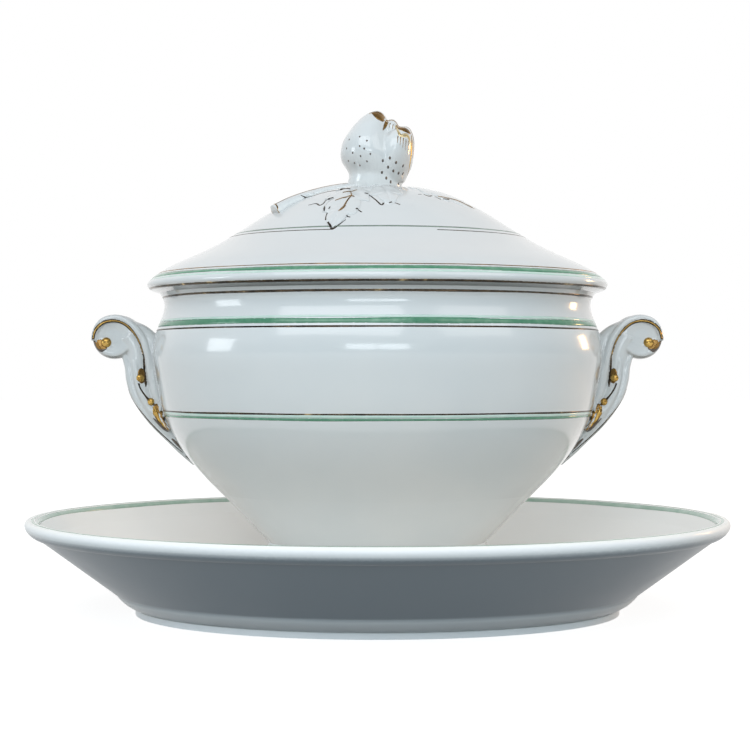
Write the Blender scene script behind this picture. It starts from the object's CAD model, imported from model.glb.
import math

import bmesh
import bpy
from mathutils import Matrix, Vector, noise
from mathutils.bvhtree import BVHTree


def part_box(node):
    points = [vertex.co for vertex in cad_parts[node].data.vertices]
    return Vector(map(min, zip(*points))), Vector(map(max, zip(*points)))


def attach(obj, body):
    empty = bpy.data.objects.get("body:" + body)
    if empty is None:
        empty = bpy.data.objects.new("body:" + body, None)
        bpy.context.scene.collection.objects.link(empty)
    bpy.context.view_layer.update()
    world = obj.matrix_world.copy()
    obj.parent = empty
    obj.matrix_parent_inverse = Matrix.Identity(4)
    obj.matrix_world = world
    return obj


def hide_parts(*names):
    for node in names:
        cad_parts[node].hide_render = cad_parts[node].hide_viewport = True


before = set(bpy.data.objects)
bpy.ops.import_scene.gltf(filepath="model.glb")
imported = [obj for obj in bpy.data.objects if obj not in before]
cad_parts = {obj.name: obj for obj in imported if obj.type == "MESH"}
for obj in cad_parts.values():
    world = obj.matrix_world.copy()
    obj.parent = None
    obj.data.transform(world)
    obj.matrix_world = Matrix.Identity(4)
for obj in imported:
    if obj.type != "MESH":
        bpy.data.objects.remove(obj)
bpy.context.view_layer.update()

# A glazed porcelain tureen on its stand. The CAD nodes give the stand, bowl, foot and lid, and this
# script adds the glaze, the painted lines, the modelled handles, the knob and the leaf sprig.
# Everything is in metres: X along the handles, -Y towards the front, Z up.

MM = 0.001
LEFT, RIGHT = -1, 1
FRONT, REAR = -1, 1

STAND_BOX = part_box("stand")
BOWL_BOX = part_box("bowl")
LID_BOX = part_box("lid")
BOWL_ASPECT = BOWL_BOX[1].y / BOWL_BOX[1].x
LID_ASPECT = LID_BOX[1].y / LID_BOX[1].x


def turns_round(sides):
    """Angles in even steps round a full turn."""
    return [2 * math.pi * side / sides for side in range(sides)]


# Materials

WHITE = (1, 1, 1, 1)


def grey(value):
    return value, value, value


def shader(name):
    """A new material with its node tree and its Principled shader."""
    made = bpy.data.materials.new(name)
    made.use_nodes = True
    tree = made.node_tree
    return made, tree, tree.nodes["Principled BSDF"]


def add_node(tree, kind, **inputs):
    """A new node; each input, named with _ for a space, is a socket to link or a value to set."""
    node = tree.nodes.new(kind)
    fill_inputs(tree, node, **inputs)
    return node


def fill_inputs(tree, node, **inputs):
    for name, source in inputs.items():
        socket = node.inputs[name.replace("_", " ")]
        if isinstance(source, bpy.types.NodeSocket):
            tree.links.new(source, socket)
        else:
            socket.default_value = source


def coordinate(tree, kind):
    return tree.nodes.new("ShaderNodeTexCoord").outputs[kind]


def noise_node(tree, scale, detail=2.0):
    texture = add_node(tree, "ShaderNodeTexNoise", Scale=scale, Detail=detail,
                       Vector=coordinate(tree, "Object"))
    return texture.outputs["Fac"]


def ramp(tree, source, stops):
    """A colour ramp over source, from (position, colour) stops."""
    node = tree.nodes.new("ShaderNodeValToRGB")
    elements = node.color_ramp.elements
    elements[0].position, elements[0].color = stops[0][0], (*stops[0][1], 1)
    elements[1].position, elements[1].color = stops[-1][0], (*stops[-1][1], 1)
    for position, colour in stops[1:-1]:
        elements.new(position).color = (*colour, 1)
    tree.links.new(source, node.inputs["Fac"])
    return node.outputs["Color"]


def spread(tree, source, low, high, least=0.0):
    """Source from least to 1 spread over low to high."""
    node = add_node(tree, "ShaderNodeMapRange", From_Min=least, To_Min=low, To_Max=high,
                    Value=source)
    return node.outputs["Result"]


def mixed(tree, factor, first, second, blend="MIX"):
    """Two colours mixed; each of the three is a socket or a value."""
    node = tree.nodes.new("ShaderNodeMix")
    node.data_type = "RGBA"
    node.blend_type = blend
    fill_inputs(tree, node, Factor=factor, A=first, B=second)
    return node.outputs["Result"]


def greater(tree, first, second):
    node = tree.nodes.new("ShaderNodeMath")
    node.operation = "MAXIMUM"
    tree.links.new(first, node.inputs[0])
    tree.links.new(second, node.inputs[1])
    return node.outputs["Value"]


def bump(tree, layers):
    """Bump from (height, distance in metres) layers, the broadest first."""
    normal = None
    for height, distance in layers:
        node = add_node(tree, "ShaderNodeBump", Distance=distance, Height=height)
        if normal:
            tree.links.new(normal, node.inputs["Normal"])
        normal = node.outputs["Normal"]
    return normal


def glaze(name, stops, waviness=0.25 * MM, polished=(0.10, 0.22), coat=0.6):
    """Clear glossy glaze over a porcelain body, slightly wavy and uneven in tone."""
    made, tree, principled = shader(name)
    waves, pores = noise_node(tree, 22.0, 1.0), noise_node(tree, 700.0, 1.0)
    fill_inputs(tree, principled,
                Base_Color=ramp(tree, noise_node(tree, 16.0, 3.0), stops),
                Roughness=spread(tree, noise_node(tree, 60.0), *polished),
                Coat_Weight=coat, Coat_Roughness=0.04,
                Normal=bump(tree, [(waves, waviness), (pores, 0.006 * MM)]))
    return made


def shade_by_facing(made, stops, foot_top):
    """Multiplies a glaze by a ramp over its normal's Z, as for a level one below foot_top."""
    tree = made.node_tree
    principled = tree.nodes["Principled BSDF"]
    facing = add_node(tree, "ShaderNodeSeparateXYZ", Vector=coordinate(tree, "Normal"))
    height = add_node(tree, "ShaderNodeSeparateXYZ", Vector=coordinate(tree, "Object"))
    foot = add_node(tree, "ShaderNodeMapRange", From_Min=foot_top, From_Max=foot_top / 3,
                    To_Min=-1.0, To_Max=0.0, Value=height.outputs["Z"])
    most = greater(tree, facing.outputs["Z"], foot.outputs["Result"])
    shade = ramp(tree, spread(tree, most, 0.0, 1.0, -1.0), stops)
    tone = principled.inputs["Base Color"].links[0].from_socket
    fill_inputs(tree, principled, Base_Color=mixed(tree, 1.0, tone, shade, "MULTIPLY"))


def enamel(name, stops, roughness=0.18):
    """Painted on-glaze colour, thinner and paler in places."""
    made, tree, principled = shader(name)
    fill_inputs(tree, principled,
                Base_Color=ramp(tree, noise_node(tree, 130.0, 4.0), stops),
                Roughness=roughness, Coat_Weight=0.5, Coat_Roughness=0.05,
                Normal=bump(tree, [(noise_node(tree, 400.0), 0.02 * MM)]))
    return made


def gilt(name, stops, low=0.12, high=0.34):
    """Burnished gilding with duller, browner patches."""
    made, tree, principled = shader(name)
    fill_inputs(tree, principled,
                Base_Color=ramp(tree, noise_node(tree, 160.0, 4.0), stops),
                Metallic=1.0, Roughness=spread(tree, noise_node(tree, 90.0), low, high),
                Normal=bump(tree, [(noise_node(tree, 260.0), 0.05 * MM)]))
    return made


STAND_FOOT_TOP = 16 * MM
NO_FOOT = 0.1 * MM

PORCELAIN = glaze("porcelain_glaze", [(0.3, (0.68, 0.72, 0.73)), (0.7, (0.73, 0.755, 0.755))])
STAND_GLAZE = glaze("stand_glaze", [(0.3, (0.90, 0.92, 0.93)), (0.7, (0.93, 0.94, 0.94))],
                    0.5 * MM, (0.26, 0.38), 0.12)
STAND_GLAZE.node_tree.nodes["Principled BSDF"].inputs["Specular IOR Level"].default_value = 0.08
shade_by_facing(STAND_GLAZE, [(0.14, (0.37, 0.42, 0.46)), (0.28, (0.98, 1.0, 1.0)),
                              (0.60, (1.0, 1.0, 1.0)), (0.85, (1.0, 0.98, 0.95))], STAND_FOOT_TOP)
HANDLE_GLAZE = glaze("handle_glaze", [(0.3, (0.58, 0.60, 0.60)), (0.7, (0.66, 0.675, 0.67))])
for made in (PORCELAIN, HANDLE_GLAZE):
    shade_by_facing(made, [(0.05, (0.42, 0.41, 0.39)), (0.17, (0.92, 0.89, 0.86)),
                           (0.42, (0.97, 0.96, 0.95)), (0.50, (1.0, 1.0, 1.0)),
                           (0.80, (0.96, 0.95, 0.95)), (0.93, (0.85, 0.83, 0.83))], NO_FOOT)
GREEN = enamel("green_enamel_paint", [(0.25, (0.11, 0.29, 0.18)), (0.5, (0.06, 0.23, 0.13)),
                                      (0.8, (0.16, 0.36, 0.24))])
DULL_GREEN = enamel("dull_green_line", [(0.3, (0.08, 0.13, 0.10)), (0.7, (0.17, 0.24, 0.19))])
PALE_GREEN = enamel("pale_green_wash", [(0.3, (0.30, 0.45, 0.36)), (0.7, (0.45, 0.58, 0.50))])
MINT = enamel("mint_wash", [(0.3, (0.50, 0.68, 0.60)), (0.7, (0.60, 0.74, 0.67))])
GILDING = gilt("burnished_gilding", [(0.3, (0.28, 0.16, 0.04)), (0.6, (0.58, 0.38, 0.11))])
BROWN_GILT = gilt("brown_gilding", [(0.3, (0.13, 0.075, 0.025)), (0.7, (0.38, 0.22, 0.07))],
                  0.16, 0.34)
LINE_GILT = gilt("line_gilding", [(0.35, (0.035, 0.03, 0.025)), (0.64, (0.10, 0.075, 0.05)),
                                  (0.80, (0.58, 0.45, 0.24))], 0.10, 0.25)
PALE_GILT = gilt("pale_gilding", [(0.3, (0.62, 0.48, 0.24)), (0.7, (0.86, 0.74, 0.46))])
DARK = enamel("dark_brush_paint", [(0.3, (0.04, 0.03, 0.025)), (0.7, (0.12, 0.085, 0.06))], 0.3)


def dress(piece, made):
    """Gives a mesh this one material."""
    piece.data.materials.clear()
    piece.data.materials.append(made)


# Surfaces: where a ray meets a CAD node or a finished piece

class Surface:
    """One or more meshes that painted lines are laid on."""

    def __init__(self, *pieces):
        points, faces = [], []
        for piece in pieces:
            first = len(points)
            points += [piece.matrix_world @ corner.co for corner in piece.data.vertices]
            faces += [[first + index for index in face.vertices] for face in piece.data.polygons]
        self.tree = BVHTree.FromPolygons(points, faces)

    def from_side(self, x, y, z):
        """The first point that a level ray towards the axis meets, on the bearing of x, y."""
        start = Vector((x, y, 0)).normalized() * 0.5
        start.z = z
        return self.hit(start, Vector((-start.x, -start.y, 0)).normalized())

    def from_above(self, x, y):
        return self.hit(Vector((x, y, 0.5)), Vector((0, 0, -1)))

    def from_face(self, x, z, face):
        """The first point met along Y from the front or the rear."""
        return self.hit(Vector((x, face * 0.5, z)), Vector((0, -face, 0)))

    def nearest(self, point):
        found, normal, _, _ = self.tree.find_nearest(point)
        return found, normal

    def hit(self, start, direction):
        point, normal, _, _ = self.tree.ray_cast(start, direction)
        if point is None:
            return None
        if normal.dot(direction) > 0:
            normal = -normal
        return point, normal


# Painted lines: thin closed strips that stand a hair above the glaze

PAINT_PROUD = 0.09 * MM
PAINT_SINK = 0.25 * MM
RING_STEPS = 480
LINE_COLUMNS = 4
LINE_SHARES = [column / (LINE_COLUMNS - 1) - 0.5 for column in range(LINE_COLUMNS)]
SPOT_SIDES = 12


def add_to_scene(name, data):
    piece = bpy.data.objects.new(name, data)
    bpy.context.scene.collection.objects.link(piece)
    return piece


def link_mesh(name, mesh, made, body):
    """A smooth piece that rides on a body, in one material."""
    mesh.shade_smooth()
    piece = add_to_scene(name, mesh)
    dress(piece, made)
    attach(piece, body)
    return piece


def mesh_of(build, name):
    """The mesh of a bmesh, which is freed."""
    mesh = bpy.data.meshes.new(name)
    build.to_mesh(mesh)
    build.free()
    return mesh


def brush_wobble(turn, seed, amount):
    """A slow uneven drift of a hand-painted line, the same after each full turn."""
    return amount * noise.noise(Vector((math.cos(turn) * 2.1, math.sin(turn) * 2.1, seed)))


def smooth_through(stops, per_span=8):
    """Steps along a smooth curve through the stops, each a tuple of any length."""
    padded = [stops[0], *stops, stops[-1]]
    steps = []
    for before, start, end, after in zip(padded, padded[1:], padded[2:], padded[3:]):
        for index in range(per_span):
            t = index / per_span
            steps.append(tuple(
                0.5 * (2 * q + (r - p) * t + (2 * p - 5 * q + 4 * r - s) * t ** 2
                       + (3 * q - p - 3 * r + s) * t ** 3)
                for p, q, r, s in zip(before, start, end, after)))
    steps.append(tuple(stops[-1]))
    return steps


class Paint:
    """One painted colour on one body: strips and spots gathered into a single piece."""

    def __init__(self, name, made, slot, body, proud=PAINT_PROUD):
        self.name, self.made, self.slot, self.body = name, made, slot, body
        self.proud = proud
        self.points, self.faces = [], []

    def strip(self, rows, closed=False):
        """A thin closed strip over rows of (point, normal), one row per step."""
        first = len(self.points)
        wide = len(rows[0])
        for row in rows:
            for index, (point, normal) in enumerate(row):
                edge = index in (0, wide - 1)
                self.points.append(point + normal * (0 if edge else self.proud))
            for point, normal in reversed(row):
                self.points.append(point - normal * PAINT_SINK)
        ring = wide * 2
        for step in range(len(rows) if closed else len(rows) - 1):
            here = first + step * ring
            there = first + (step + 1) % len(rows) * ring
            for index in range(ring):
                after = (index + 1) % ring
                self.faces.append((here + index, here + after, there + after, there + index))
        if not closed:
            last = first + (len(rows) - 1) * ring
            self.faces.append(tuple(reversed(range(first, first + ring))))
            self.faces.append(tuple(range(last, last + ring)))

    def ring(self, lay, low, high, start=0.0, end=2 * math.pi, wobble=0.25 * MM, seed=0.0):
        """A line round an oval from one turn to another; lay(turn, level) is on the surface."""
        closed = end - start > 2 * math.pi - 1e-6
        steps = RING_STEPS if closed else int(RING_STEPS * (end - start) / (2 * math.pi))
        rows = []
        for step in range(steps if closed else steps + 1):
            turn = start + (end - start) * step / steps
            width = high - low + brush_wobble(turn, seed + 5.0, (high - low) * 0.4)
            middle = (low + high) / 2 + brush_wobble(turn, seed, wobble)
            rows.append([lay(turn, middle + width * share) for share in LINE_SHARES])
        self.strip(rows, closed)

    def stroke(self, surface, stops, per_span=8):
        """A brush stroke through (point, width) stops that the surface carries."""
        steps = smooth_through([(*point, width) for point, width in stops], per_span)
        laid = [surface.nearest(Vector(step[:3])) for step in steps]
        rows = []
        for index, (point, normal) in enumerate(laid):
            ahead = laid[min(index + 1, len(laid) - 1)][0]
            behind = laid[max(index - 1, 0)][0]
            across = normal.cross(ahead - behind).normalized() * steps[index][3]
            rows.append([surface.nearest(point + across * share) for share in LINE_SHARES])
        self.strip(rows)

    def spot(self, surface, place, wide, tall, rings=1):
        """A drop or patch of paint at (point, normal), in as many rings as its curve needs."""
        point, normal = place
        first = len(self.points)
        across = normal.cross(Vector((0, 0, 1))).normalized() * wide / 2
        along = normal.cross(across).normalized() * tall / 2
        self.points.append(point + normal * self.proud)
        self.points.append(point - normal * PAINT_SINK)
        for ring in range(1, rings + 1):
            share = ring / rings
            lift = self.proud if ring < rings else self.proud / 2
            for turn in turns_round(SPOT_SIDES):
                offset = across * math.cos(turn) + along * math.sin(turn)
                edge, out = surface.nearest(point + offset * share)
                self.points.append(edge + out * lift)
                self.points.append(edge - out * PAINT_SINK)
        for side in range(SPOT_SIDES):
            after = (side + 1) % SPOT_SIDES
            here, there = first + 2 + side * 2, first + 2 + after * 2
            self.faces.append((first, here, there))
            self.faces.append((first + 1, there + 1, here + 1))
            for ring in range(1, rings):
                inner, outer = (ring - 1) * SPOT_SIDES * 2, ring * SPOT_SIDES * 2
                self.faces.append((here + inner, here + outer, there + outer, there + inner))
                self.faces.append((here + inner + 1, there + inner + 1, there + outer + 1,
                                   here + outer + 1))
            last = (rings - 1) * SPOT_SIDES * 2
            self.faces.append((here + last, here + last + 1, there + last + 1, there + last))

    def finish(self):
        rough = bpy.data.meshes.new(self.name)
        rough.from_pydata(self.points, [], self.faces)
        build = bmesh.new()
        build.from_mesh(rough)
        bpy.data.meshes.remove(rough)
        bmesh.ops.recalc_face_normals(build, faces=build.faces)
        link_mesh(self.name, mesh_of(build, self.name), self.made, self.body)


BOWL_SURFACE = Surface(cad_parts["bowl"])
LID_SURFACE = Surface(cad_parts["lid"])
STAND_SURFACE = Surface(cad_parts["stand"])


def on_bowl(turn, height):
    return BOWL_SURFACE.from_side(math.cos(turn), math.sin(turn) * BOWL_ASPECT, height)


def on_lid_edge(turn, height):
    return LID_SURFACE.from_side(math.cos(turn), math.sin(turn) * LID_ASPECT, height)


def on_lid_dome(turn, reach):
    return LID_SURFACE.from_above(reach * math.cos(turn), reach * math.sin(turn) * LID_ASPECT)


def on_stand(turn, inset):
    """A point of the stand's upper side, this far in from its lip."""
    reach = STAND_BOX[1].x - inset
    depth = STAND_BOX[1].y - inset
    return STAND_SURFACE.from_above(reach * math.cos(turn), depth * math.sin(turn))


def make_rings(body, rings):
    """One piece for each (name, material, slot, lay, low, high, extent) ring on a body."""
    for name, made, slot, lay, low, high, extent in rings:
        paint = Paint(name, made, slot, body)
        paint.ring(lay, low * MM, high * MM, **extent)
        paint.finish()


def make_painted_lines():
    make_rings("bowl", [
        ("bowl_rim_line", LINE_GILT, "gilding", on_bowl, 179.0, 180.2, {"seed": 1}),
        ("bowl_upper_mint", MINT, "green_enamel", on_bowl, 165.6, 166.9, {"seed": 13}),
        ("bowl_upper_green", GREEN, "green_enamel", on_bowl, 162.7, 165.5, {"seed": 2}),
        ("bowl_upper_gold", LINE_GILT, "gilding", on_bowl, 160.6, 161.5, {"seed": 3}),
    ])
    margin = math.radians(9)
    for side, start in (("front", math.pi), ("rear", 0.0)):
        arc = {"start": start + margin, "end": start + math.pi - margin}
        make_rings("bowl", [
            (f"bowl_lower_gold_{side}", LINE_GILT, "gilding", on_bowl, 115.2, 116.1,
             {"seed": 4, **arc}),
            (f"bowl_lower_mint_{side}", MINT, "green_enamel", on_bowl, 113.7, 115.1,
             {"seed": 15, **arc}),
            (f"bowl_lower_green_{side}", GREEN, "green_enamel", on_bowl, 112.3, 113.6,
             {"seed": 5, **arc}),
        ])
    make_rings("lid", [
        ("lid_edge_line", LINE_GILT, "gilding", on_lid_edge, 183.8, 185.0, {"seed": 6}),
        ("lid_green", GREEN, "green_enamel", on_lid_edge, 190.2, 192.2, {"seed": 7}),
        ("lid_mint", MINT, "green_enamel", on_lid_edge, 188.8, 190.0, {"seed": 14}),
        ("lid_gold", BROWN_GILT, "gilding", on_lid_edge, 192.9, 193.4, {"seed": 8}),
        ("lid_dome_green", DULL_GREEN, "green_enamel", on_lid_dome, 81.5, 82.8, {"seed": 9}),
        ("lid_dome_gold", LINE_GILT, "gilding", on_lid_dome, 84.8, 85.6,
         {"seed": 10, "start": math.radians(292), "end": math.radians(614)}),
    ])
    make_rings("stand", [
        ("stand_green_line", GREEN, "green_enamel", on_stand, 3.6, 5.2, {"seed": 11}),
        ("stand_green_wash", PALE_GREEN, "green_enamel", on_stand, 5.3, 8.2, {"seed": 12}),
    ])


# Modelled clay: overlapping closed forms that are joined and softened into one skin

ACROSS = Vector((0, 1, 0))


class Clay:
    """Closed forms that fired() joins into one mesh."""

    def __init__(self):
        self.build = bmesh.new()

    def skin(self, rings):
        """Closes a run of rings, each a list of points, into one solid."""
        made = [[self.build.verts.new(point) for point in ring] for ring in rings]
        sides = len(made[0])
        for near, far in zip(made, made[1:]):
            for index in range(sides):
                after = (index + 1) % sides
                self.build.faces.new((near[index], near[after], far[after], far[index]))
        self.build.faces.new(list(reversed(made[0])))
        self.build.faces.new(made[-1])

    def tube(self, stops, across=ACROSS, sides=16, per_span=5):
        """A tube through (point, half thickness, half width across) stops."""
        steps = smooth_through([(*point, thick, wide) for point, thick, wide in stops], per_span)
        rings = []
        for index, (x, y, z, thick, wide) in enumerate(steps):
            ahead = Vector(steps[min(index + 1, len(steps) - 1)][:3])
            behind = Vector(steps[max(index - 1, 0)][:3])
            out = (ahead - behind).normalized().cross(across).normalized()
            rings.append([Vector((x, y, z)) + across * wide * math.cos(turn)
                          + out * thick * math.sin(turn) for turn in turns_round(sides)])
        self.skin(rings)

    def ovals(self, levels, sides=40, per_span=5):
        """A solid through level ovals, each (height, shift along X, half length, half width)."""
        rings = []
        for height, shift, reach, depth in smooth_through(levels, per_span):
            rings.append([Vector((shift + reach * math.cos(turn), depth * math.sin(turn), height))
                          for turn in turns_round(sides)])
        self.skin(rings)

    def disc(self, centre, profile, sides=48):
        """A solid turned about Y through (radius, half width) points, from the middle outwards."""
        outline = profile + [(radius, -wide) for radius, wide in reversed(profile)]
        rings = []
        for radius, wide in outline:
            rings.append([centre + Vector((radius * math.cos(turn), wide, radius * math.sin(turn)))
                          for turn in turns_round(sides)])
        self.skin(rings)

    def ball(self, centre, half_sizes):
        made = bmesh.ops.create_icosphere(self.build, subdivisions=3, radius=1.0)
        grown = Matrix.Diagonal((*half_sizes, 1.0))
        bmesh.ops.transform(self.build, matrix=Matrix.Translation(centre) @ grown,
                            verts=made["verts"])

    def fired(self, name, voxel, softening):
        """The mesh after the parts are joined by a voxel remesh and smoothed."""
        bmesh.ops.recalc_face_normals(self.build, faces=self.build.faces)
        rough = add_to_scene(name + "_rough", mesh_of(self.build, name))
        join = rough.modifiers.new("join", "REMESH")
        join.mode = "VOXEL"
        join.voxel_size = voxel
        soften = rough.modifiers.new("soften", "SMOOTH")
        soften.factor = 0.5
        soften.iterations = softening
        graph = bpy.context.evaluated_depsgraph_get()
        fired = bpy.data.meshes.new_from_object(rough.evaluated_get(graph))
        fired.name = name
        bpy.data.objects.remove(rough)
        return fired


BEAD_FLATTENING = Matrix.Diagonal((1.0, 1.0, 0.8, 1.0))


def bead(name, place, radius, sink, body):
    """A slightly flattened gilt bead that sits in the surface at (point, normal)."""
    point, normal = place
    build = bmesh.new()
    bmesh.ops.create_icosphere(build, subdivisions=3, radius=radius)
    turn = normal.to_track_quat("Z", "Y").to_matrix().to_4x4()
    shift = Matrix.Translation(point - normal * sink)
    bmesh.ops.transform(build, matrix=shift @ turn @ BEAD_FLATTENING, verts=build.verts)
    link_mesh(name, mesh_of(build, name), GILDING, body)


# Handles: a limb that grows out of the bowl's flank and rolls over into a volute. Places are
# offsets (out, up) in millimetres from the volute's centre, on the right-hand handle.

HANDLE_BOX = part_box("handle_right")
VOLUTE = Vector((HANDLE_BOX[1].x - 12.6 * MM, 0, HANDLE_BOX[1].z - 14.9 * MM))
LIMB = [
    (-8.0, 0.8, 6.5, 7.2), (-12.0, -7.2, 6.2, 6.8), (-13.5, -17.2, 5.6, 6.8),
    (-14.5, -25.2, 5.2, 7.0), (-17.5, -34.2, 5.0, 7.2), (-22.5, -43.2, 4.8, 6.8),
    (-29.0, -52.2, 4.2, 5.6), (-36.0, -60.2, 3.4, 4.2), (-42.5, -67.7, 2.5, 3.0),
    (-48.0, -73.4, 1.5, 1.8),
]
WEB = [
    (-8.0, 7.0, 3.6, 4.6), (-16.0, 3.0, 4.2, 4.8), (-21.5, -3.0, 4.6, 5.0),
    (-22.0, -12.0, 4.8, 5.6), (-22.0, -20.0, 4.8, 6.0), (-23.5, -30.0, 4.8, 6.0),
    (-27.0, -40.0, 4.4, 5.6), (-32.0, -50.0, 3.8, 4.6),
]
SCROLL_RIB = [
    (10.9, -2.0, 1.7), (10.6, 1.6, 1.8), (8.6, 6.4, 2.0), (4.6, 9.9, 2.1), (-2.5, 10.9, 2.2),
    (-9.5, 8.0, 2.2), (-16.0, 0.3, 2.1), (-19.2, -9.2, 2.0), (-20.2, -16.2, 1.9),
    (-20.6, -24.2, 1.6), (-21.6, -30.0, 1.2),
]
OUTER_RIB = [
    (-5.6, -9.4, 1.5), (-8.4, -17.2, 2.3), (-9.4, -24.4, 2.5), (-11.9, -32.7, 2.5),
    (-16.8, -41.4, 2.4), (-23.4, -49.9, 2.2), (-31.5, -58.2, 1.9), (-39.0, -66.1, 1.5),
    (-46.0, -72.8, 1.0),
]
MIDDLE_RIB = [
    (-12.2, -12.0, 0.8), (-13.0, -18.2, 1.8), (-13.9, -25.2, 2.0), (-16.2, -33.0, 2.0),
    (-20.8, -41.2, 1.9), (-26.8, -49.4, 1.7), (-33.5, -57.2, 1.3),
]
VOLUTE_PROFILE = [(0.5, 5.6), (5.0, 5.6), (9.0, 6.4), (10.8, 6.2), (12.0, 4.4), (12.5, 1.6)]
RIBS = [(SCROLL_RIB, 6.0), (OUTER_RIB, 3.4), (MIDDLE_RIB, 6.0)]
RIB_NARROWING = 0.45
ACANTHUS_LOBES = [
    (-23.4, -38.6, 60), (-26.8, -39.6, 95), (-22.6, -42.4, 30), (-29.6, -43.2, 125),
    (-26.6, -45.4, 65), (-30.4, -50.4, 60),
]
LOBE_SECTIONS = [(-1.0, 0.5), (-0.4, 1.5), (0.3, 1.7), (1.0, 0.6)]
LOBE_ACROSS, LOBE_HALF_LENGTH, LOBE_HALF_WIDTH = 5.4, 3.6, 1.9


def on_limb(out, up, across=0.0):
    return VOLUTE + Vector((out * MM, across * MM, up * MM))


def make_handle_mesh():
    clay = Clay()
    clay.tube([(on_limb(out, up), thick * MM, wide * MM) for out, up, thick, wide in LIMB])
    clay.tube([(on_limb(out, up), thick * MM, wide * MM) for out, up, thick, wide in WEB])
    clay.disc(VOLUTE, [(radius * MM, wide * MM) for radius, wide in VOLUTE_PROFILE])
    for face in (FRONT, REAR):
        for rib, spread_out in RIBS:
            last = len(rib) - 1
            stops = []
            for index, (out, up, half) in enumerate(rib):
                narrowing = 1 - RIB_NARROWING * (index / last) ** 3
                centre = on_limb(out, up, face * spread_out * narrowing)
                stops.append((centre, half * MM, half * MM))
            clay.tube(stops, sides=12)
        for out, up, lean in ACANTHUS_LOBES:
            turn = math.radians(lean)
            tip = Vector((math.cos(turn), 0, math.sin(turn)))
            stops = []
            for share, half in LOBE_SECTIONS:
                centre = on_limb(out, up, face * LOBE_ACROSS)
                centre += tip * (share * LOBE_HALF_LENGTH * MM)
                stops.append((centre, half * MM, LOBE_HALF_WIDTH * MM))
            clay.tube(stops, sides=12)
    return clay.fired("handle_right_modelled", 0.5 * MM, 3)


def mirrored(mesh, name):
    copy = mesh.copy()
    copy.name = name
    copy.transform(Matrix.Scale(-1, 4, (1, 0, 0)))
    copy.flip_normals()
    return copy


# Brush strokes on a handle's face, each stop (out, up, width) in millimetres.
SCROLL_LINE = [
    (10.6, -4.6, 2.0), (11.2, -0.6, 2.0), (9.6, 4.6, 2.3), (4.6, 8.6, 2.5), (-2.7, 9.2, 2.6),
    (-8.8, 6.0, 2.5), (-14.4, -1.6, 2.2), (-17.0, -9.6, 1.9), (-17.6, -15.6, 1.6),
    (-17.8, -20.0, 1.8), (-18.3, -24.4, 2.4), (-18.6, -28.4, 0.5),
]
LIMB_LINE = [(-14.7, -26.2, 1.0), (-16.0, -29.6, 1.0), (-18.8, -33.8, 1.1), (-21.6, -36.6, 2.2),
             (-23.6, -38.8, 1.4)]
ACANTHUS_BODY = [(-24.2, -38.0, 2.4), (-25.6, -42.6, 5.0), (-27.6, -47.2, 5.2),
                 (-29.9, -51.2, 3.4), (-32.2, -53.2, 1.0)]
ACANTHUS_GLEAM = [(-23.4, -39.4, 1.6), (-24.4, -43.4, 3.2), (-26.4, -47.4, 2.2),
                  (-29.4, -51.2, 0.8)]
ACANTHUS_DASHES = [
    [(-23.0, -46.3, 0.7), (-25.8, -49.1, 1.5), (-29.2, -52.5, 1.5), (-31.3, -53.9, 0.5)],
    [(-33.3, -58.0, 0.9), (-37.4, -62.0, 1.9), (-41.0, -65.6, 0.8)],
    [(-41.0, -67.8, 0.6), (-44.2, -70.8, 0.4)],
    [(-28.8, -46.0, 0.5), (-29.4, -48.3, 0.6), (-32.0, -51.4, 0.4)],
]
EDGE_LINE = [(-8.4, -29.5, 0.5), (-11.0, -36.0, 0.7), (-15.8, -42.6, 0.8), (-23.0, -50.9, 0.8),
             (-31.4, -59.0, 0.7), (-39.4, -66.0, 0.4)]
EYE_SHADE = [(10.2, -3.2, 0.6), (9.8, -5.6, 2.6), (7.4, -7.6, 2.4), (3.6, -6.4, 0.6)]
SCROLL_GLEAM, GLEAM_SHARE = slice(1, 8), 0.35
GILT_SPOTS = [(7.2, -4.6, 8.4, 7.0, 5), (-16.2, -22.0, 5.0, 9.0, 4)]
BEADS = [("boss", 4.0, -2.9, 3.0, 0.4), ("upper_bead", -15.7, -23.2, 2.5, 0.4),
         ("lower_bead", -21.4, -36.8, 2.2, 0.3)]


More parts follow.
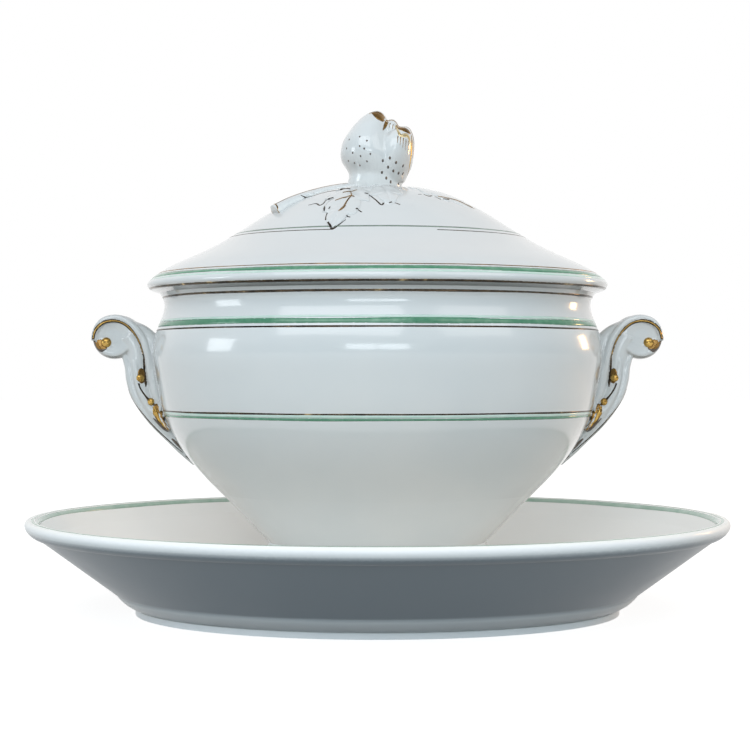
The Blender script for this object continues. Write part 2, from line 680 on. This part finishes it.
def make_handle(name, mesh, side):
    """One handle with its gilding on both faces."""
    piece = link_mesh(f"{name}_modelled", mesh, HANDLE_GLAZE, "bowl")
    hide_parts(name)
    surface = Surface(piece)

    def on_face(out, up, face):
        place = on_limb(out, up)
        return surface.from_face(side * place.x, place.z, face)

    def stops(line, face):
        laid = []
        for out, up, width in line:
            place = on_face(out, up, face)
            if place:
                laid.append((place[0], width * MM))
        return laid

    lines = Paint(f"{name}_gold_lines", LINE_GILT, "gilding", "bowl")
    leaf = Paint(f"{name}_acanthus_gilding", BROWN_GILT, "gilding", "bowl")
    gleam = Paint(f"{name}_acanthus_gleam", GILDING, "gilding", "bowl", PAINT_PROUD * 3)
    veins = Paint(f"{name}_acanthus_veins", DARK, "dark_enamel", "bowl", PAINT_PROUD * 2)
    for face, label in ((FRONT, "front"), (REAR, "rear")):
        for line in (SCROLL_LINE, LIMB_LINE, EDGE_LINE):
            lines.stroke(surface, stops(line, face))
        for out, up, wide, tall, rings in GILT_SPOTS:
            leaf.spot(surface, on_face(out, up, face), wide * MM, tall * MM, rings)
        leaf.stroke(surface, stops(ACANTHUS_BODY, face))
        gleam.stroke(surface, [(point, width * GLEAM_SHARE)
                               for point, width in stops(SCROLL_LINE[SCROLL_GLEAM], face)])
        veins.stroke(surface, stops(EYE_SHADE, face))
        gleam.stroke(surface, stops(ACANTHUS_GLEAM, face))
        for dash in ACANTHUS_DASHES:
            veins.stroke(surface, stops(dash, face), 5)
        for kind, out, up, radius, sink in BEADS:
            bead(f"{name}_{kind}_{label}", on_face(out, up, face), radius * MM, sink * MM, "bowl")
    for paint in (lines, leaf, gleam, veins):
        paint.finish()


def make_handles():
    mesh = make_handle_mesh()
    make_handle("handle_left", mirrored(mesh, "handle_left_modelled"), LEFT)
    make_handle("handle_right", mesh, RIGHT)


# Knob: a bud whose left petal closes to a point while the right one opens in a wavy gilt edge.
# Levels are (rise, shift, half length, half width) in millimetres above the top of the lid.

BUD_LEVELS = [
    (-1.5, -1.0, 15.2, 13.0), (3.7, -1.5, 15.6, 14.0), (7.7, -1.0, 15.4, 14.5),
    (10.7, -1.5, 15.8, 15.6), (15.7, -3.5, 17.0, 17.2), (21.2, -5.0, 16.3, 18.0),
    (28.1, -5.8, 13.8, 16.5), (35.0, -4.2, 10.8, 12.5), (38.4, -3.0, 9.1, 10.0),
    (41.9, -1.8, 6.6, 6.8), (44.1, -0.9, 4.0, 4.2), (45.2, -0.4, 1.6, 1.8),
]
PETAL_LEVELS = [
    (3.7, 5.0, 10.5, 11.0), (7.7, 6.0, 11.3, 13.0), (12.7, 7.5, 12.2, 15.0),
    (17.7, 9.0, 11.7, 16.5), (22.7, 10.0, 11.2, 17.0), (27.7, 11.0, 10.3, 15.8),
    (31.7, 12.4, 8.0, 13.0), (34.2, 13.8, 5.4, 9.6), (35.6, 14.8, 3.2, 5.4),
]
PETAL_CREST = (8.2, 33.6, 4.6, 8.5, 7.0)
# Gilding and speckles on a face of the knob: (shift, rise, width) stops and (shift, rise) dots.
LEFT_DOTS = [
    (-10, 28), (-6, 25.5), (-16, 27), (-17.5, 22), (-10, 22.5), (-7.5, 21), (-14, 19),
    (-9.5, 17), (-4, 18), (-16.5, 15), (-13, 13.5), (-10, 12), (-6, 14),
]
RIGHT_DOTS = [
    (3, 14.5), (7, 16), (10.5, 13.5), (14.5, 12), (6, 11), (9, 9), (12, 8), (14.5, 8),
    (2.5, 8), (5, 5), (7.5, 3), (12, 2.5),
]
TIP_RIDGE = [(-4.6, 43.0, 0.8), (-1.6, 44.8, 1.6), (2.0, 44.4, 2.4), (4.6, 40.8, 1.6)]
LOBE_RIDGE = [
    (4.8, 40.0, 1.2), (8.4, 39.6, 1.3), (12.0, 36.4, 1.2), (14.2, 35.0, 1.4), (17.4, 34.4, 1.8),
    (20.0, 30.6, 1.7), (20.9, 24.6, 1.3), (20.4, 18.0, 0.5),
]
TIP_CAP = [(-3.0, 43.4, 1.6), (-0.6, 42.4, 5.0), (1.8, 40.2, 6.2), (3.4, 38.0, 2.4)]
LOBE_CAP = [(11.0, 36.0, 1.0), (13.2, 33.8, 4.6), (16.2, 32.8, 5.2), (18.8, 31.0, 1.6)]
CHEEK = [(19.4, 30.0, 0.8), (19.7, 26.0, 2.2), (19.5, 20.5, 2.6), (18.6, 14.0, 1.4),
         (17.2, 8.0, 0.3)]
CREASE_STROKE = [(5.4, 38.0, 3.0), (4.3, 35.2, 2.2), (3.0, 32.4, 0.5)]
LIP_GLEAM = [(10.4, 35.6, 0.8), (11.8, 31.4, 1.4), (13.4, 28.8, 2.2), (17.0, 29.2, 2.6),
             (18.4, 26.0, 1.8), (18.9, 20.5, 0.8)]
# Hatching: number of strokes, first top and foot, the step of each, and the width.
HATCHES = [
    (5, (11.6, 28.5), (1.5, -0.6), (11.2, 24.4), (1.5, -1.3), 0.7),
    (3, (7.4, 37.2), (1.6, -0.9), (6.8, 34.4), (1.6, -1.0), 0.6),
]
HATCH_FOOT_WIDTH = 0.2
RIDGE_DROP, RIDGE_ACROSS = 0.6, 4.5
LEFT_DOT, RIGHT_DOT = (1.0 * MM, 1.2 * MM), (1.25 * MM, 1.9 * MM)
BUD_BASE = LID_BOX[1].z


def bud_point(shift, rise, across=0.0):
    return Vector((shift * MM, across * MM, BUD_BASE + rise * MM))


def make_bud():
    clay = Clay()
    for levels in (BUD_LEVELS, PETAL_LEVELS):
        clay.ovals([(BUD_BASE + rise * MM, shift * MM, reach * MM, depth * MM)
                    for rise, shift, reach, depth in levels])
    shift, rise, *halves = PETAL_CREST
    clay.ball(bud_point(shift, rise), [half * MM for half in halves])
    mesh = clay.fired("bud_modelled", 0.5 * MM, 22)
    bud = link_mesh("bud_modelled", mesh, PORCELAIN, "lid")
    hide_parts("finial_bud", "finial_petal")
    surface = Surface(bud)

    edges = Paint("bud_gilt_edges", BROWN_GILT, "gilding", "lid")
    patches = Paint("bud_gilt_patches", BROWN_GILT, "gilding", "lid", PAINT_PROUD * 1.5)
    glints = Paint("bud_gilt_lip", PALE_GILT, "gilding", "lid", PAINT_PROUD * 2)
    warm = Paint("bud_gilt_cheek", GILDING, "gilding", "lid")
    dots = Paint("bud_dots", DARK, "dark_enamel", "lid")
    for face in (FRONT, REAR):
        def on_face(shift, rise):
            return surface.from_face(shift * MM, BUD_BASE + rise * MM, face)

        def laid(line):
            places = [(on_face(shift, rise), width) for shift, rise, width in line]
            return [(place[0], width * MM) for place, width in places if place]

        for line in (TIP_RIDGE, LOBE_RIDGE):
            edges.stroke(surface, [
                (surface.nearest(bud_point(shift, rise - RIDGE_DROP, face * RIDGE_ACROSS))[0],
                 width * MM) for shift, rise, width in line])
        for cap in (TIP_CAP, LOBE_CAP, CREASE_STROKE):
            patches.stroke(surface, laid(cap))
        warm.stroke(surface, laid(CHEEK))
        glints.stroke(surface, laid(LIP_GLEAM))
        for count, top, top_step, foot, foot_step, width in HATCHES:
            for number in range(count):
                start = [value + number * step for value, step in zip(top, top_step)]
                end = [value + number * step for value, step in zip(foot, foot_step)]
                edges.stroke(surface, laid([(*start, width), (*end, HATCH_FOOT_WIDTH)]), 4)
        for places, size in ((LEFT_DOTS, LEFT_DOT), (RIGHT_DOTS, RIGHT_DOT)):
            for shift, rise in places:
                dots.spot(surface, on_face(shift, rise), *size)
    for paint in (edges, patches, glints, warm, dots):
        paint.finish()


# Sprig: a cut branch and lobed leaves in low relief on the dome

class Leaf:
    """A lobed leaf on the dome: base, heading and sizes in millimetres and degrees."""

    def __init__(self, name, base, heading, length, half_width, lobes, fullness):
        self.name, self.lobes, self.fullness = name, lobes, fullness
        self.base = Vector(base) * MM
        turn = math.radians(heading)
        self.along = Vector((math.cos(turn), math.sin(turn)))
        self.across = Vector((-self.along.y, self.along.x))
        self.length, self.half_width = length * MM, half_width * MM

    def half_at(self, run):
        """Half-width at a run from 0 at the base to 1 at the tip, with pointed lobes."""
        fullness = math.sin(math.pi * min(1.0, run) ** 0.85) ** 0.8
        phase = (run * self.lobes) % 1.0
        lobe = 0.62 + 0.38 * phase ** 0.8
        return self.half_width * fullness * lobe

    def place(self, run, side):
        """Plan point at a run along the midrib and a side from -1 to 1 across."""
        sweep = abs(side) * 0.10
        spot = self.base + self.along * self.length * (run + sweep * (1 - run))
        return spot + self.across * (side * self.half_at(run))

    def relief(self, run, side):
        """Height above the glaze: full in the blade, thin at the rim, grooved on the veins."""
        rim = 1 - abs(side) ** 3
        midrib = math.exp(-(side / 0.10) ** 2) * 0.35
        veins = 0.16 * math.cos(2 * math.pi * (run * self.lobes - abs(side) * 0.5))
        taper = min(1.0, run * 6, (1 - run) * 8)
        return (0.35 + 0.75 * rim - midrib + veins * rim) * taper * self.fullness * MM


LEAVES = [
    Leaf("leaf_front_left", (-7, -15), 249, 51, 13.5, 4, 1.0),
    Leaf("leaf_front_right", (1, -13), 280, 36, 10.5, 3, 0.8),
    Leaf("leaf_right", (12, -5), 335, 46, 17, 4, 0.4),
]
# Brush strokes in plan on the dome, each stop (x, y, width) in millimetres.
LEAF_EDGES = [
    [(-38.1, -36.5, 0.5), (-34.0, -37.5, 0.9), (-31.7, -40.9, 1.0), (-29.8, -40.1, 0.9),
     (-28.0, -37.2, 0.7), (-24.2, -38.0, 0.4)],
    [(-43.0, -20.9, 0.6), (-36.5, -23.4, 1.0), (-30.0, -23.3, 1.2), (-23.6, -24.3, 2.0),
     (-19.0, -27.7, 1.6), (-15.1, -31.4, 0.5)],
    [(-28.8, -43.0, 0.5), (-29.0, -46.1, 1.0), (-29.0, -49.0, 0.4)],
    [(-25.8, -46.9, 0.4), (-27.6, -51.1, 0.8), (-28.0, -55.6, 0.9)],
    [(-26.7, -58.4, 0.9), (-25.7, -60.6, 1.2), (-24.1, -63.6, 1.8), (-20.8, -61.4, 1.0),
     (-17.1, -58.2, 0.4)],
    [(-16.8, -56.1, 0.9), (-14.7, -56.8, 0.8)],
    [(-11.7, -52.2, 0.5), (-11.0, -51.8, 0.7), (-8.6, -53.9, 0.9)],
    [(-7.1, -38.4, 0.5), (-4.3, -39.5, 0.8), (-1.7, -43.2, 0.9), (2.0, -48.5, 1.1),
     (3.3, -46.8, 1.0)],
    [(6.4, -47.2, 0.5), (7.7, -46.5, 0.7)],
    [(9.5, -46.2, 0.8), (12.3, -47.3, 0.8)],
    [(22.6, -32.6, 0.6), (24.4, -31.6, 0.7)],
    [(25.7, -30.8, 0.8), (28.2, -31.7, 1.3), (30.2, -29.5, 0.9)],
    [(31.8, -29.8, 0.7), (35.2, -31.2, 1.1)],
    [(36.6, -29.9, 0.6), (39.9, -27.3, 0.6)],
]
LEAF_VEINS = [
    [(-15.1, -33.8, 0.4), (-14.4, -40.3, 0.7), (-16.8, -45.4, 0.8), (-18.5, -49.8, 0.9),
     (-20.1, -52.6, 0.4)],
    [(-23.1, -42.7, 0.3), (-19.4, -41.8, 0.6), (-14.9, -40.8, 0.9), (-12.7, -41.9, 0.4)],
    [(-19.2, -34.4, 0.3), (-15.7, -34.0, 0.6), (-11.2, -33.9, 0.3)],
    [(-17.4, -48.6, 0.4), (-19.2, -50.9, 1.6), (-21.0, -52.4, 0.5)],
    [(33.6, -28.4, 0.3), (43.9, -23.6, 0.4), (50.7, -22.4, 0.4), (54.7, -21.0, 0.2)],
]
LEAF_RUNS, LEAF_SIDES = 96, 24
LEAF_END_GAP = 0.002
LEAF_SINK = 0.5 * MM


def make_leaf(leaf):
    """A leaf's closed mesh over the dome, in place of its CAD node."""
    points, faces = [], []
    for layer in (1, 0):
        for row in range(LEAF_RUNS + 1):
            run = LEAF_END_GAP + (1 - 2 * LEAF_END_GAP) * row / LEAF_RUNS
            for column in range(LEAF_SIDES + 1):
                side = 2 * column / LEAF_SIDES - 1
                place = leaf.place(run, side)
                ground, normal = LID_SURFACE.from_above(place.x, place.y)
                lift = leaf.relief(run, side) if layer else -LEAF_SINK
                points.append(ground + normal * lift)
    wide = LEAF_SIDES + 1
    under = (LEAF_RUNS + 1) * wide
    for row in range(LEAF_RUNS):
        for column in range(LEAF_SIDES):
            here = row * wide + column
            faces.append((here, here + 1, here + wide + 1, here + wide))
            here += under
            faces.append((here, here + wide, here + wide + 1, here + 1))
    rim = list(range(wide))
    rim += [row * wide + LEAF_SIDES for row in range(1, LEAF_RUNS + 1)]
    rim += [LEAF_RUNS * wide + column for column in range(LEAF_SIDES - 1, -1, -1)]
    rim += [row * wide for row in range(LEAF_RUNS - 1, 0, -1)]
    for here, there in zip(rim, rim[1:] + rim[:1]):
        faces.append((there, here, here + under, there + under))
    mesh = bpy.data.meshes.new(leaf.name)
    mesh.from_pydata(points, [], faces)
    piece = link_mesh(f"{leaf.name}_modelled", mesh, PORCELAIN, "lid")
    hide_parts(leaf.name)
    return piece


# The branch in plan, each stop (x, y, height above the dome, half width) in millimetres.
STEM = [
    (-9.0, -4.0, 3.4, 6.0), (-17.0, -6.5, 3.0, 6.4), (-26.0, -9.5, 2.2, 5.8),
    (-34.0, -12.5, 2.2, 5.3), (-42.0, -16.0, 2.8, 5.2), (-50.0, -20.0, 3.8, 5.3),
    (-57.0, -24.5, 4.8, 5.6),
]
STEM_LEAST_THICK = 3.6
STEM_KNOT, STEM_KNOT_HALVES = (-38 * MM, -19 * MM), (3.2 * MM, 2.6 * MM, 2.2 * MM)
CREST_OFFSET, CREST_WIDTH, CREST_TAPER = 1.6, 2.3, 0.3
CUT_START, CUT_SWEEP, CUT_STEPS = -25, 230, 8
CUT_INSET = 0.9


def make_stem():
    """A branch half sunk in the dome, with a cut end that is outlined in brown."""
    clay = Clay()
    stops = []
    for x, y, proud, half_wide in STEM:
        ground, _ = LID_SURFACE.from_above(x * MM, y * MM)
        thick = max(proud, STEM_LEAST_THICK) * MM
        top = ground.z + proud * MM
        stops.append((Vector((ground.x, ground.y, top - thick)), thick, half_wide * MM))
    heading = (stops[-1][0] - stops[0][0]).normalized()
    across = Vector((0, 0, 1)).cross(heading).normalized()
    clay.tube(stops, across)
    knot, _ = LID_SURFACE.from_above(*STEM_KNOT)
    clay.ball(knot, STEM_KNOT_HALVES)
    mesh = clay.fired("stem_modelled", 0.5 * MM, 4)
    stem = link_mesh("stem_modelled", mesh, PORCELAIN, "lid")
    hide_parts("stem")

    surface = Surface(stem)
    outline = Paint("stem_outline", BROWN_GILT, "gilding", "lid")
    crest = []
    for index, (x, y, _, _) in enumerate(STEM[1:]):
        crest.append((surface.from_above(x * MM, (y - CREST_OFFSET) * MM)[0],
                      (CREST_WIDTH - CREST_TAPER * index) * MM))
    outline.stroke(surface, crest)
    centre, thick, wide = stops[-1]
    loop = []
    for step in range(CUT_STEPS + 1):
        turn = math.radians(CUT_START + CUT_SWEEP * step / CUT_STEPS)
        rim = centre + across * wide * math.cos(turn) * CUT_INSET
        rim.z += thick * math.sin(turn) * CUT_INSET
        loop.append((rim + heading * 0.4 * MM, 0.9 * MM))
    outline.stroke(surface, loop, 4)
    outline.finish()
    return stem


def paint_sprig(pieces):
    """The brown brush strokes that suggest the leaves' edges and veins."""
    surface = Surface(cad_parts["lid"], *pieces)
    for name, made, strokes in (("sprig_edges", LINE_GILT, LEAF_EDGES),
                                ("sprig_veins", BROWN_GILT, LEAF_VEINS)):
        paint = Paint(name, made, "gilding", "lid")
        for stroke in strokes:
            paint.stroke(surface, [(surface.from_above(x * MM, y * MM)[0], width * MM)
                                   for x, y, width in stroke])
        paint.finish()


# Stage, light and camera

def light_path_any(tree, names):
    """A factor that is 1 for rays of any of these kinds."""
    path = tree.nodes.new("ShaderNodeLightPath")
    total = path.outputs[names[0]]
    for name in names[1:]:
        total = greater(tree, total, path.outputs[name])
    return total


def make_floor():
    """A pale floor that the camera sees as white, with the shadow of the stand left on it."""
    reach = 6.0
    mesh = bpy.data.meshes.new("floor")
    corners = [(-reach, -reach, 0), (reach, -reach, 0), (reach, reach, 0), (-reach, reach, 0)]
    mesh.from_pydata(corners, [], [(0, 1, 2, 3)])
    floor = add_to_scene("floor", mesh)
    made, tree, principled = shader("floor_paper")
    tone = ramp(tree, noise_node(tree, 3.0), [(0.3, grey(0.11)), (0.7, grey(0.13))])
    fill_inputs(tree, principled, Base_Color=tone, Roughness=0.9)
    white = add_node(tree, "ShaderNodeEmission", Color=WHITE, Strength=0.88)
    paper = add_node(tree, "ShaderNodeBsdfDiffuse", Color=(*grey(0.3), 1))
    pale = tree.nodes.new("ShaderNodeAddShader")
    tree.links.new(white.outputs["Emission"], pale.inputs[0])
    tree.links.new(paper.outputs["BSDF"], pale.inputs[1])
    seen = tree.nodes.new("ShaderNodeMixShader")
    rays = ["Is Camera Ray", "Is Glossy Ray", "Is Transmission Ray"]
    tree.links.new(light_path_any(tree, rays), seen.inputs["Fac"])
    tree.links.new(principled.outputs["BSDF"], seen.inputs[1])
    tree.links.new(pale.outputs["Shader"], seen.inputs[2])
    output = tree.nodes["Material Output"]
    tree.links.new(seen.outputs["Shader"], output.inputs["Surface"])
    floor.data.materials.append(made)


def make_world():
    """White backdrop for the camera, a studio that darkens behind it for gloss, and soft fill."""
    world = bpy.data.worlds.new("studio")
    world.use_nodes = True
    bpy.context.scene.world = world
    tree = world.node_tree
    background = tree.nodes["Background"]
    split = add_node(tree, "ShaderNodeSeparateXYZ", Vector=coordinate(tree, "Generated"))
    height = spread(tree, split.outputs["Z"], 0.0, 1.0, -1.0)
    above = ramp(tree, height, [(0.3, grey(0.05)), (0.5, (0.34, 0.35, 0.36)),
                                (0.62, (0.70, 0.73, 0.75)), (0.75, (0.62, 0.64, 0.66)),
                                (1.0, (0.50, 0.51, 0.52))])
    depth = spread(tree, split.outputs["Y"], 0.0, 1.0, -1.0)
    ahead = ramp(tree, depth, [(0.0, (1.32, 1.62, 1.76)), (0.3, (1.1, 1.2, 1.24)),
                               (0.5, (0.88, 0.80, 0.74)), (1.0, (0.8, 0.74, 0.68))])
    fill = mixed(tree, 1.0, above, ahead, "MULTIPLY")
    room = ramp(tree, depth, [(0.0, (0.20, 0.21, 0.22)), (0.45, grey(0.40)), (0.75, grey(1.0))])
    mirrored_rays = light_path_any(tree, ["Is Glossy Ray", "Is Transmission Ray"])
    studio = mixed(tree, mirrored_rays, fill, room)
    seen = mixed(tree, light_path_any(tree, ["Is Camera Ray"]), studio, WHITE)
    fill_inputs(tree, background, Color=seen)


def soft_box(name, place, aim, size, power, colour):
    """A rectangular studio lamp that faces aim."""
    data = bpy.data.lights.new(name, "AREA")
    data.shape = "RECTANGLE"
    data.size, data.size_y = size
    data.energy = power
    data.color = colour
    lamp = add_to_scene(name, data)
    lamp.location = place
    lamp.rotation_euler = (Vector(aim) - Vector(place)).to_track_quat("-Z", "Y").to_euler()


def make_lights():
    middle = (0, 0, 0.12)
    soft_box("key", (-0.5, -1.6, 1.55), middle, (2.0, 1.3), 18, (0.98, 0.98, 1.0))
    soft_box("fill", (1.0, -1.0, 1.2), middle, (1.0, 1.0), 4.0, (1.0, 0.96, 0.92))
    for pane, x in (("left", -0.33), ("right", 0.33)):
        soft_box(f"window_{pane}", (x, -2.9, 0.50), middle, (0.62, 0.40), 3.6, (0.88, 0.95, 1.0))
    soft_box("left_window", (-1.6, -0.52, 0.40), middle, (0.46, 0.46), 3.0, (0.9, 0.96, 1.0))
    soft_box("warm_side", (0.95, 0.40, 0.30), (0.1, 0, 0.15), (0.14, 0.20), 1.6, (1.0, 0.55, 0.22))


def make_camera():
    """A long lens at the front, level with the bowl's belly, looking along +Y."""
    data = bpy.data.cameras.new("camera")
    data.lens = 73.5
    data.sensor_width = 36.0
    camera = add_to_scene("camera", data)
    camera.location = (-1.4 * MM, -881 * MM, 138.6 * MM)
    camera.rotation_euler = (math.radians(89.81), 0, 0)
    bpy.context.scene.camera = camera


def main():
    bpy.context.scene.view_settings.view_transform = "Standard"
    for name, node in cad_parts.items():
        dress(node, STAND_GLAZE if name == "stand" else PORCELAIN)
    make_painted_lines()
    make_handles()
    make_bud()
    paint_sprig([make_leaf(leaf) for leaf in LEAVES] + [make_stem()])
    make_floor()
    make_world()
    make_lights()
    make_camera()


main()
